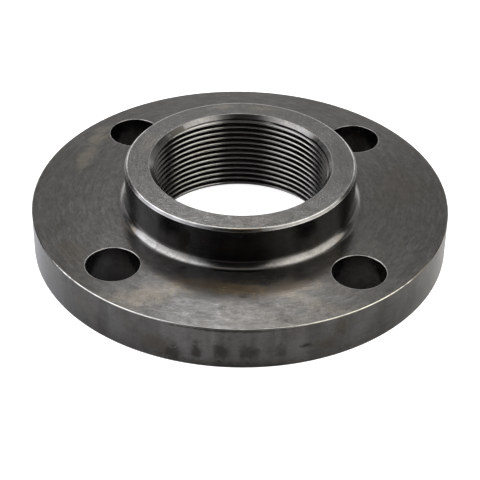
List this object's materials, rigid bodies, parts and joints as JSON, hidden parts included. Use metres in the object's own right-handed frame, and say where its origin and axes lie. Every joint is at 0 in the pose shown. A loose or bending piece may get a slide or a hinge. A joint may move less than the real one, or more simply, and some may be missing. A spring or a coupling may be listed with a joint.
{
  "type": "threaded flange",
  "caption": "Round steel pipe flange with a short raised hub, an internally threaded bore and a ring of bolt holes through the plate, for bolting a screwed pipe end to another flange.",
  "frame": {"origin": "centre of the plate's underside, on the bore axis", "axes": "+Z along the bore axis, from the underside up to the hub's face; the bolt holes lie midway between the X and Y axes"},
  "size_m": [0.1524, 0.1524, 0.0322],
  "materials": {
    "black_steel": "machined and oiled, dark with a satin sheen"
  },
  "bodies": {
    "root": {"threaded_flange": "black_steel"}
  },
  "joints": []
}
